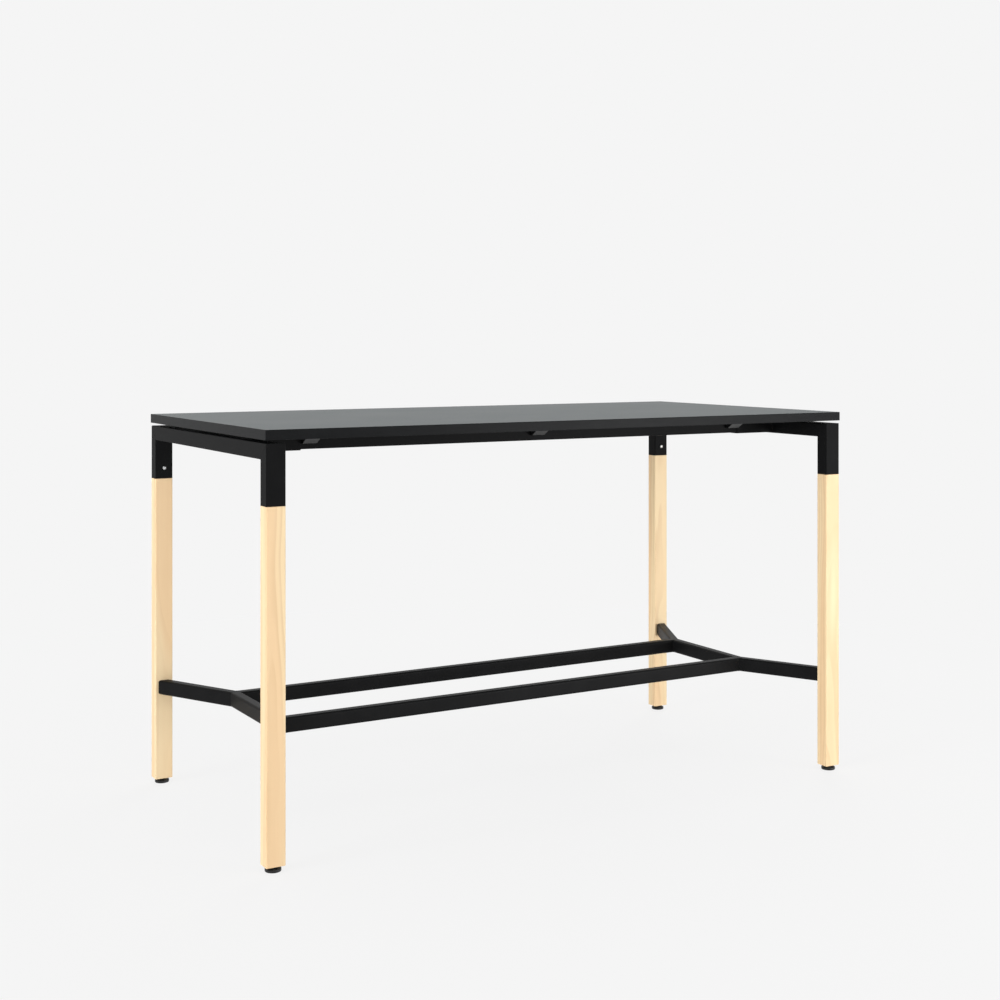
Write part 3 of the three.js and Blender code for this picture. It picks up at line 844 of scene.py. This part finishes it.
# Turned body whose rings change from circles to a hexagon in the socket
def makeScrew(kind, place, outward):
    node = f"{kind}_{place}"
    size = {key: value * mm for key, value in screwSizes[kind].items()}
    low, high = boxOf(node)
    middle, reach = (low + high) / 2, np.abs((high - low) @ outward)
    seat = middle + (reach / 2 - size["height"]) * outward
    length, tip, top = reach - size["height"], size["shank"] / 4, size["height"]
    turn = np.linspace(0, math.pi / 2, 7)
    dome = size["head"] / 2 - size["dome"] * (1 - np.cos(turn))
    domeHeight = top - size["dome"] * (1 - np.sin(turn))
    shank, across = size["shank"] / 2, size["socket"]
    rim = across / math.sqrt(3) + 0.25 * mm
    floor = top - 0.6 * size["height"]
    radii = [shank - tip, shank, shank, size["head"] / 2 - 0.2 * mm, size["head"] / 2, *dome,
             rim + 0.15 * mm, rim, hexagon(across), hexagon(across), 0.3 * across]
    heights = [-length, tip - length, 0, 0, 0.2 * mm, *domeHeight,
               top, top, top - 0.35 * mm, floor, floor - 0.25 * mm]
    axes = np.stack([xAxis, np.cross(outward, xAxis), outward])
    body = standOn(roundRings(radii), np.array(heights)[:, None], seat, axes)
    addPiece(f"zinc_{kind}_{place}", loft(body), zincFinish, [node])


for end, side in corners:
    for kind in ("leg_screw", "foot_screw", "beam_bolt"):
        makeScrew(kind, f"{end}_{side}", -sides[side] * yAxis)
for place in ("left", "centre", "right"):
    for side in sides:
        makeScrew("top_screw", f"{place}_{side}", -zAxis)
print("screws made")

# Levelling glides: moulded pad, threaded stem with a hexagon collar, flanged nut let into the leg
glideSizes = {"ease": 2.2, "rim": 8.0, "crown": 9.0, "crownEase": 0.5, "socket": 5.4, "socketDepth": 4.5,
              "pivot": 5.0, "collar": 13.0, "collarHeight": 3.4, "collarFoot": 10.3, "stem": 4.0, "pitch": 1.25,
              "thread": 0.65, "turnRows": 12, "nutFlange": 1.5, "nutBody": 7.0, "nutBore": 4.4}


# Pad: a turned profile with rounded rims and a cone up to its crown
def makePad(end, side):
    node = f"glide_pad_{end}_{side}"
    low, high = boxOf(node)
    size = {key: value * mm for key, value in glideSizes.items()}
    outer = (high - low)[0] / 2
    along, inward = easing(size["ease"], 7)
    crownAlong, crownIn = easing(size["crownEase"], 4, 0.05 * mm)
    radii = np.concatenate([outer - inward[::-1], outer - inward, size["crown"] - crownIn[1:],
                            [size["socket"], size["socket"]]])
    heights = np.concatenate([along[::-1], size["rim"] - along, high[2] - crownAlong[1:],
                              [high[2], high[2] - size["socketDepth"]]])
    pad = standOn(roundRings(radii, 64), heights[:, None], ((low + high) / 2) * (1, 1, 0), np.eye(3))
    addPiece(f"nylon_pad_{end}_{side}", loft(pad), nylonFinish, [node], f"pad_{end}_{side}", 40)


# Stem: pivot, chamfered hexagon collar, then a thread whose depth follows height over pitch less the turn
def makeStem(end, side):
    node = f"glide_stem_{end}_{side}"
    low, high = boxOf(node)
    size = {key: value * mm for key, value in glideSizes.items()}
    count = 48
    turn = np.linspace(0, 2 * math.pi, count, endpoint=False)
    foot, head = size["collarFoot"], size["collarFoot"] + size["collarHeight"]
    flats = hexagon(size["collar"])
    chamfers = np.array([0, 0.25, 0.5, 0.8]) * mm
    bevel = [np.minimum(flats, size["collar"] / 2 - 0.15 * mm + 1.9 * chamfer) for chamfer in chamfers]
    rise = np.arange(head, high[2] - 1.2 * mm, size["pitch"] / glideSizes["turnRows"])
    wave = np.abs(((rise[:, None] / size["pitch"] - turn / (2 * math.pi)) % 1) * 2 - 1)
    fade = np.clip((rise[:, None] - head) / size["pitch"], 0, 1)
    thread = size["stem"] - size["thread"] * np.clip(1.3 * wave - 0.15, 0, 1) * fade
    radii = [size["pivot"] - 0.4 * mm, size["pivot"], size["pivot"], *bevel, *bevel[::-1], *thread,
             size["stem"] - size["thread"], size["stem"] - 1.2 * mm]
    heights = [low[2], low[2] + 0.4 * mm, foot, *(foot + chamfers), *(head - chamfers[::-1]), *rise,
               high[2] - 0.9 * mm, high[2]]
    origin = ((low + high) / 2) * (1, 1, 0)
    stem = standOn(roundRings(radii, count), np.array(heights)[:, None], origin, np.eye(3))
    addPiece(f"zinc_stem_{end}_{side}", loft(stem), zincFinish, [node], f"stem_{end}_{side}")


def makeNut(end, side):
    node = f"glide_nut_{end}_{side}"
    low, high = boxOf(node)
    size = {key: value * mm for key, value in glideSizes.items()}
    flange, body, bore = (high - low)[0] / 2, size["nutBody"], size["nutBore"]
    radii = [bore + 0.5 * mm, flange - 0.3 * mm, flange, flange, flange - 0.3 * mm, body, body, body - 0.5 * mm,
             bore + 0.4 * mm, bore, bore]
    heights = np.array([0, 0, 0.3 * mm, size["nutFlange"] - 0.3 * mm, size["nutFlange"], size["nutFlange"],
                        high[2] - low[2] - 0.5 * mm, high[2] - low[2], high[2] - low[2],
                        high[2] - low[2] - 0.4 * mm, 0.5 * mm])
    origin = ((low + high) / 2) * (1, 1, 0) + low * (0, 0, 1)
    nut = standOn(roundRings(radii), heights[:, None], origin, np.eye(3))
    addPiece(f"zinc_nut_{end}_{side}", loft(nut, closed=True), zincFinish, [node])


for end, side in corners:
    makePad(end, side)
    makeStem(end, side)
    makeNut(end, side)
print("glides made")

# Pale room: the floor and the surroundings show one pale tone, and the floor near the table takes some shadow
roomLook = {"tone": 0.913, "light": 0.60, "floorLight": 0.83, "albedo": 0.92, "shadow": 0.13, "fade": (1.5, 2.8),
            "floor": 30.0, "clear": 0.3}


def makeRoom():
    world = bpy.data.worlds.new("room")
    world.use_nodes = True
    bpy.context.scene.world = world
    finish = Finish(world.node_tree)
    seen = lightPath(finish)
    strength = roomLook["light"] + seen * (roomLook["tone"] - roomLook["light"])
    shader = finish.node("ShaderNodeBackground", {}, {"Color": (1, 1, 1, 1), "Strength": strength})
    finish.node("ShaderNodeOutputWorld", {}, {"Surface": shader})

    material, finish = newFinish("floor")
    seen = lightPath(finish)
    share = 1 - roomLook["shadow"]
    lit = roomLook["shadow"] * roomLook["albedo"] * roomLook["floorLight"]
    away = finish.node("ShaderNodeVectorMath", {"operation": "LENGTH"}, {0: finish.place}, out="Value")
    fade = finish.between(away, *roomLook["fade"], share, 1.0)
    level = finish.between(away, *roomLook["fade"], (roomLook["tone"] - lit) / share, roomLook["tone"])
    matt = finish.node("ShaderNodeBsdfDiffuse", {}, {"Color": (roomLook["albedo"],) * 3 + (1,)})
    glow = finish.node("ShaderNodeEmission", {}, {"Color": level})
    shader = finish.node("ShaderNodeMixShader", {}, {0: seen * fade, 1: matt, 2: glow})
    finish.node("ShaderNodeOutputMaterial", {}, {"Surface": shader})
    for end, side in corners:
        layFloor(end, side, material)


# One quarter of the floor, which sinks with the glide that stands on it
def layFloor(end, side, material):
    x, y = ends[end] * roomLook["floor"], sides[side] * roomLook["floor"]
    z = -roomLook["clear"] * mm
    mesh = bpy.data.meshes.new(f"floor_{end}_{side}")
    mesh.from_pydata([(0, 0, z), (x, 0, z), (x, y, z), (0, y, z)], [], [(0, 1, 2, 3)[::ends[end] * sides[side]]])
    mesh.materials.append(material)
    floor = bpy.data.objects.new(f"floor_{end}_{side}", mesh)
    bpy.context.scene.collection.objects.link(floor)
    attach(floor, f"pad_{end}_{side}")


# One where the camera, a reflection or glass looks, nothing for light that falls on the object
def lightPath(finish):
    looks = [finish.node("ShaderNodeLightPath", out=f"Is {kind} Ray") for kind in ("Camera", "Glossy", "Transmission")]
    return looks[0] + looks[1] + looks[2]


# Soft boxes off the left end, the front right and back right corners, and a weak one far in front. The one at
# the front right shows in reflections and stays below the table top, which would mirror it.
lampLook = {
    "leftBox": {"place": (-12.0, -2.0, 2.4), "aim": (-0.9, 0.0, 0.6), "size": (5.0, 4.0), "power": 890, "shine": False},
    "rightBox": {"place": (2.45, -3.6, 0.53), "aim": (0.9, -0.4, 0.55), "size": (1.5, 1.0), "power": 75, "shine": True},
    "frontBox": {"place": (-1.0, -9.0, 1.5), "aim": (0.0, 0.0, 0.6), "size": (3.0, 2.0), "power": 74, "shine": False},
    "backBox": {"place": (8.0, 8.0, 2.4), "aim": (0.0, 0.0, 0.6), "size": (5.0, 4.0), "power": 640, "shine": False},
}


def makeLamp(name, look):
    light = bpy.data.lights.new(name, "AREA")
    light.shape = "RECTANGLE"
    light.size, light.size_y = look["size"]
    light.energy = look["power"]
    lamp = bpy.data.objects.new(name, light)
    lamp.location = look["place"]
    away = np.array(look["place"]) - np.array(look["aim"])
    across = math.hypot(away[0], away[1])
    lamp.rotation_euler = (math.atan2(across, away[2]), 0, math.atan2(away[1], away[0]) + math.pi / 2)
    lamp.visible_camera = False
    lamp.visible_glossy = look["shine"]
    bpy.context.scene.collection.objects.link(lamp)


# Camera where the photograph was taken, held level with its view shifted down
cameraLook = {"place": (-2.24156, -3.88283, 1.27088), "yaw": -30.0, "lens": 55.40, "shift": -0.16117}


def makeCamera():
    lens = bpy.data.cameras.new("camera")
    lens.lens = cameraLook["lens"]
    lens.sensor_width = 36.0
    lens.shift_y = cameraLook["shift"]
    holder = bpy.data.objects.new("camera", lens)
    holder.location = cameraLook["place"]
    holder.rotation_euler = (math.pi / 2, 0, math.radians(cameraLook["yaw"]))
    bpy.context.scene.collection.objects.link(holder)
    bpy.context.scene.camera = holder


makeRoom()
for name, look in lampLook.items():
    makeLamp(name, look)
makeCamera()
bpy.context.scene.view_settings.view_transform = "Standard"
print("room, lamps and camera made")
